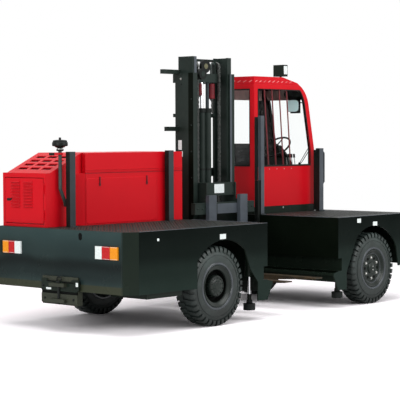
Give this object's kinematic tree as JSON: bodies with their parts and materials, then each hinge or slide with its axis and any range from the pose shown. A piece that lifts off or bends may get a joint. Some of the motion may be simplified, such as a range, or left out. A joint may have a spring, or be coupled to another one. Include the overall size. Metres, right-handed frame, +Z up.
{
  "type": "side loader forklift truck",
  "caption": "Diesel side loader forklift: two load decks with a sliding mast between them, engine hood and narrow cab along one side, lug tyres and drop-down jacks.",
  "frame": {"origin": "centre of the ground rectangle under the truck", "axes": "+X towards the front (cab end), +Y towards the cab and hood side, +Z up"},
  "size_m": [4.97, 1.962, 2.89],
  "materials": {
    "frame_paint": "gloss black chassis paint",
    "body_red": "gloss red paint",
    "mast_paint": "satin dark grey paint",
    "fork_steel": "worn dark paint over steel",
    "chain_steel": "oiled steel",
    "chrome_rod": "polished rod",
    "axle_iron": "painted casting",
    "rim_paint": "satin black paint",
    "tyre_rubber": "matt tyre rubber",
    "window_glass": "clear safety glass",
    "trim_plastic": "moulded black plastic",
    "seat_cover": "black vinyl",
    "lamp_lens": "moulded lens",
    "radiator_alloy": "finned core"
  },
  "bodies": {
    "root": {"rear_deck": "frame_paint", "front_deck": "frame_paint", "chassis_frame": "frame_paint", "rear_axle": "axle_iron", "front_axle": "axle_iron", "hood_side_panels": "body_red", "radiator_housing": "body_red", "radiator_grille": "body_red", "radiator": "radiator_alloy", "engine_block": "axle_iron", "air_intake": "trim_plastic", "stanchions": "frame_paint", "fuel_tank": "frame_paint", "tow_coupler": "frame_paint", "lamps": "lamp_lens", "jack_barrels": "frame_paint", "cab_shell": "body_red", "cab_plinth": "frame_paint", "cab_roof": "body_red", "cab_glass": "window_glass", "seat_base": "trim_plastic", "seat_cushions": "seat_cover", "dash_console": "trim_plastic", "steering_column": "trim_plastic", "side_mirror": "trim_plastic", "window_guard": "body_red"},
    "wheel_rear_left": {"tyre_rear_left": "tyre_rubber", "rim_rear_left": "rim_paint"},
    "wheel_rear_right": {"tyre_rear_right": "tyre_rubber", "rim_rear_right": "rim_paint"},
    "wheel_front_left": {"tyre_front_left": "tyre_rubber", "rim_front_left": "rim_paint"},
    "wheel_front_right": {"tyre_front_right": "tyre_rubber", "rim_front_right": "rim_paint"},
    "knuckle_left": {"knuckle_left": "axle_iron"},
    "knuckle_right": {"knuckle_right": "axle_iron"},
    "mast_trolley": {"mast_trolley": "mast_paint"},
    "tilt_barrels": {"tilt_barrels": "mast_paint"},
    "tilt_rods": {"tilt_rods": "chrome_rod"},
    "outer_mast": {"outer_mast": "mast_paint", "lift_cylinders": "mast_paint"},
    "inner_mast": {"inner_mast": "mast_paint", "lift_rods": "chrome_rod", "lift_chains": "chain_steel"},
    "fork_carriage": {"fork_carriage": "mast_paint", "forks": "fork_steel"},
    "rear_jack": {"rear_jack": "chrome_rod"},
    "front_jack": {"front_jack": "chrome_rod"},
    "hood_lid": {"hood_lid": "body_red"},
    "radiator_door": {"radiator_door": "body_red"},
    "cab_door": {"cab_door": "body_red", "door_glass": "window_glass"},
    "steering_wheel": {"steering_wheel": "trim_plastic"}
  },
  "joints": [
    {"name": "wheel_rear_left_spin", "type": "hinge", "parent": "root", "child": "wheel_rear_left", "pos_m": [-1.085, 0.835, 0.418], "axis": [0, 1, 0], "continuous": true},
    {"name": "wheel_rear_right_spin", "type": "hinge", "parent": "root", "child": "wheel_rear_right", "pos_m": [-1.085, -0.835, 0.418], "axis": [0, 1, 0], "continuous": true},
    {"name": "steer_left", "type": "hinge", "parent": "root", "child": "knuckle_left", "pos_m": [1.715, 0.675, 0.418], "axis": [0, 0, 1], "range_deg": [-35, 35]},
    {"name": "wheel_front_left_spin", "type": "hinge", "parent": "knuckle_left", "child": "wheel_front_left", "pos_m": [1.715, 0.835, 0.418], "axis": [0, 1, 0], "continuous": true},
    {"name": "steer_right", "type": "hinge", "parent": "root", "child": "knuckle_right", "pos_m": [1.715, -0.675, 0.418], "axis": [0, 0, 1], "range_deg": [-35, 35]},
    {"name": "wheel_front_right_spin", "type": "hinge", "parent": "knuckle_right", "child": "wheel_front_right", "pos_m": [1.715, -0.835, 0.418], "axis": [0, 1, 0], "continuous": true},
    {"name": "mast_reach", "type": "slide", "parent": "root", "child": "mast_trolley", "axis": [0, -1, 0], "range_m": [0, 1.1]},
    {"name": "mast_tilt", "type": "hinge", "parent": "mast_trolley", "child": "outer_mast", "pos_m": [0.3395, 0.4675, 0.38], "axis": [1, 0, 0], "range_deg": [-4, 3]},
    {"name": "tilt_barrel_swing", "type": "hinge", "parent": "mast_trolley", "child": "tilt_barrels", "pos_m": [0.3395, 0.85, 0.52], "axis": [1, 0, 0], "range_deg": [-3.8, 2.85]},
    {"name": "tilt_rod_slide", "type": "slide", "parent": "tilt_barrels", "child": "tilt_rods", "axis": [0, -0.4321, 0.9018], "range_m": [-0.0285, 0.0215]},
    {"name": "mast_lift", "type": "slide", "parent": "outer_mast", "child": "inner_mast", "axis": [0, 0, 1], "range_m": [0, 1.5]},
    {"name": "carriage_lift", "type": "slide", "parent": "inner_mast", "child": "fork_carriage", "axis": [0, 0, 1], "range_m": [0, 1.5]},
    {"name": "rear_jack_drop", "type": "slide", "parent": "root", "child": "rear_jack", "axis": [0, 0, -1], "range_m": [0, 0.105]},
    {"name": "front_jack_drop", "type": "slide", "parent": "root", "child": "front_jack", "axis": [0, 0, -1], "range_m": [0, 0.105]},
    {"name": "hood_lid_lift", "type": "hinge", "parent": "root", "child": "hood_lid", "pos_m": [-1.17, 0.971, 1.6], "axis": [-1, 0, 0], "range_deg": [0, 60]},
    {"name": "radiator_door_swing", "type": "hinge", "parent": "root", "child": "radiator_door", "pos_m": [-2.35, 0.33, 1.3], "axis": [0, 0, 1], "range_deg": [0, 110]},
    {"name": "cab_door_swing", "type": "hinge", "parent": "root", "child": "cab_door", "pos_m": [1.915, 0.971, 1.8], "axis": [0, 0, -1], "range_deg": [0, 85]},
    {"name": "steering_wheel_turn", "type": "hinge", "parent": "root", "child": "steering_wheel", "pos_m": [1.885, 0.6355, 1.838], "axis": [-0.6428, 0, 0.766], "continuous": true}
  ],
  "couplings": [
    {"joint": "steer_right", "follows": "steer_left", "ratio": 1},
    {"joint": "carriage_lift", "follows": "mast_lift", "ratio": 1},
    {"joint": "tilt_barrel_swing", "follows": "mast_tilt", "ratio": 0.9329},
    {"joint": "tilt_rod_slide", "follows": "mast_tilt", "m_per_rad": 0.406}
  ]
}
